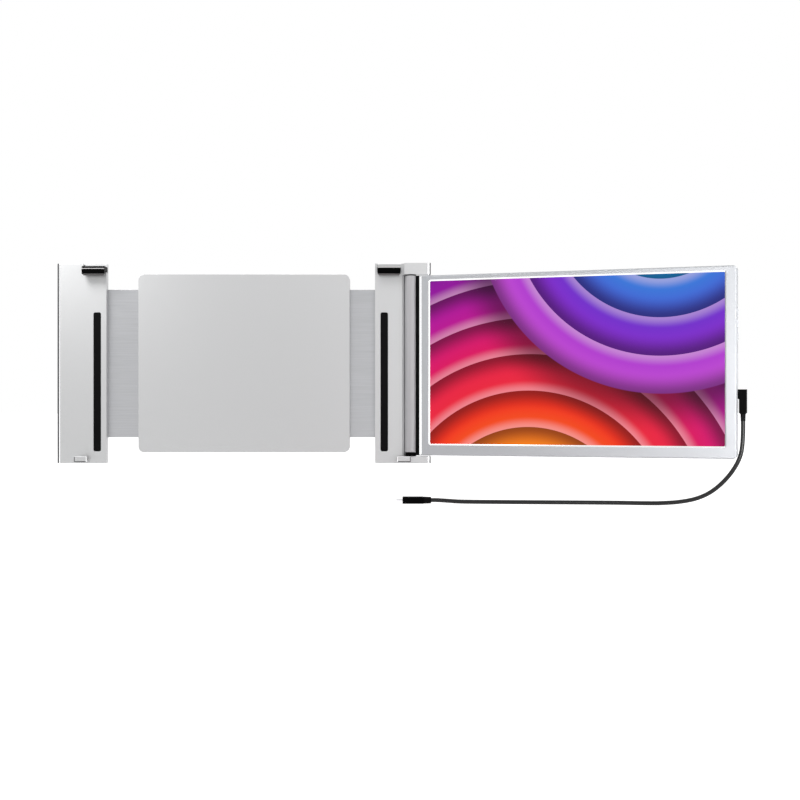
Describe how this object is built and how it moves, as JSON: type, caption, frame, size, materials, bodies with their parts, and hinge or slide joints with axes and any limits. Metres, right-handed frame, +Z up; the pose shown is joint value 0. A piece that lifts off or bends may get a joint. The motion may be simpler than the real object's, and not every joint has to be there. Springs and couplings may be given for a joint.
{
  "type": "laptop screen extender",
  "caption": "Telescopic bracket that hooks over a laptop's lid and carries a hinged second screen, with sprung lid clips, a kickstand and a short data cable.",
  "frame": {"origin": "middle of the centre plate's front face, which the back of the laptop's lid rests against", "axes": "+X to the hinged screen's side, -Y towards the person in front, +Z up"},
  "size_m": [0.7158, 0.1357, 0.2563],
  "materials": {
    "silver_aluminium": "satin anodised, light silver",
    "silver_bezel": "satin silver with bright sloped edges",
    "dark_trim": "matte dark grey",
    "slide_aluminium": "brushed",
    "silver_plastic": "fine grain, light silver",
    "hinge_grey": "satin grey",
    "leaf_black": "black coated steel",
    "clip_black": "gloss black",
    "black_plastic": "matte black",
    "black_rubber": "soft, matte",
    "steel": "plain steel",
    "bright_steel": "nickel plated",
    "display": "lit display with a coloured wave picture",
    "acrylic": "clear light guide",
    "white_plastic": "light strip",
    "green_board": "circuit board",
    "amber_film": "flexible circuit",
    "cable_black": "smooth black sheath"
  },
  "bodies": {
    "bracket": {"center_front_plate": "silver_aluminium", "center_back_shell": "silver_plastic", "center_screws": "steel", "guide_rails": "black_plastic", "stop_posts": "steel", "brake_pads": "black_rubber", "kickstand_pins": "steel"},
    "kickstand": {"kickstand_panel": "silver_aluminium", "kickstand_foot": "black_rubber"},
    "left_wing": {"left_wing_shell": "silver_aluminium", "left_wing_cover": "silver_aluminium", "left_edge_trim": "dark_trim", "left_slide_plate": "slide_aluminium", "left_lid_strip": "black_rubber", "left_claw": "silver_aluminium", "left_claw_pad": "black_rubber", "left_wing_screws": "steel", "left_clip_springs": "steel"},
    "left_clip": {"left_clip_hook": "clip_black", "left_clip_pad": "black_rubber", "left_clip_retainers": "steel"},
    "right_wing": {"right_wing_shell": "silver_aluminium", "right_wing_cover": "silver_aluminium", "right_edge_trim": "dark_trim", "right_slide_plate": "slide_aluminium", "right_lid_strip": "black_rubber", "right_claw": "silver_aluminium", "right_claw_pad": "black_rubber", "right_wing_screws": "steel", "right_clip_springs": "steel", "hinge_pins": "steel", "hinge_washers": "black_plastic"},
    "right_clip": {"right_clip_hook": "clip_black", "right_clip_pad": "black_rubber", "right_clip_retainers": "steel"},
    "screen": {"hinge_bar": "hinge_grey", "hinge_leaf": "leaf_black", "hinge_screws": "steel", "screen_bezel": "silver_bezel", "screen_back_shell": "silver_bezel", "screen_screws": "steel", "lcd_panel": "display", "light_guide": "acrylic", "led_strip": "white_plastic", "backlight_tray": "slide_aluminium", "driver_board": "green_board", "display_ribbon": "amber_film", "usb_sockets": "bright_steel", "video_socket": "bright_steel", "button_board": "green_board", "cable": "cable_black", "angled_plug": "black_plastic", "angled_plug_tip": "bright_steel", "angled_strain_relief": "black_rubber", "straight_plug": "black_plastic", "straight_plug_tip": "bright_steel", "straight_strain_relief": "black_rubber"},
    "power_key": {"power_button": "silver_bezel"},
    "up_key": {"up_button": "silver_bezel"},
    "down_key": {"down_button": "silver_bezel"}
  },
  "joints": [
    {"name": "left_wing_slide", "type": "slide", "parent": "bracket", "child": "left_wing", "axis": [-1, 0, 0], "range_m": [-0.0325, 0.03]},
    {"name": "right_wing_slide", "type": "slide", "parent": "bracket", "child": "right_wing", "axis": [1, 0, 0], "range_m": [-0.0255, 0.03]},
    {"name": "left_clip_slide", "type": "slide", "parent": "left_wing", "child": "left_clip", "axis": [0, 0, 1], "range_m": [0, 0.012], "stiffness_N_per_m": 400, "springref_m": -0.01, "deforming": ["left_clip_springs"]},
    {"name": "right_clip_slide", "type": "slide", "parent": "right_wing", "child": "right_clip", "axis": [0, 0, 1], "range_m": [0, 0.012], "stiffness_N_per_m": 400, "springref_m": -0.01, "deforming": ["right_clip_springs"]},
    {"name": "screen_hinge", "type": "hinge", "parent": "right_wing", "child": "screen", "pos_m": [0.18, -0.003, 0], "axis": [0, 0, 1], "range_deg": [-160.5, 64.5]},
    {"name": "kickstand_hinge", "type": "hinge", "parent": "bracket", "child": "kickstand", "pos_m": [0, 0.0126, 0.018], "axis": [1, 0, 0], "range_deg": [0, 60]},
    {"name": "power_press", "type": "slide", "parent": "screen", "child": "power_key", "axis": [-0.9426, 0.3338, 0], "range_m": [0, 0.0006], "stiffness_N_per_m": 400, "springref_m": -0.001},
    {"name": "up_press", "type": "slide", "parent": "screen", "child": "up_key", "axis": [-0.9426, 0.3338, 0], "range_m": [0, 0.0006], "stiffness_N_per_m": 400, "springref_m": -0.001},
    {"name": "down_press", "type": "slide", "parent": "screen", "child": "down_key", "axis": [-0.9426, 0.3338, 0], "range_m": [0, 0.0006], "stiffness_N_per_m": 400, "springref_m": -0.001}
  ]
}
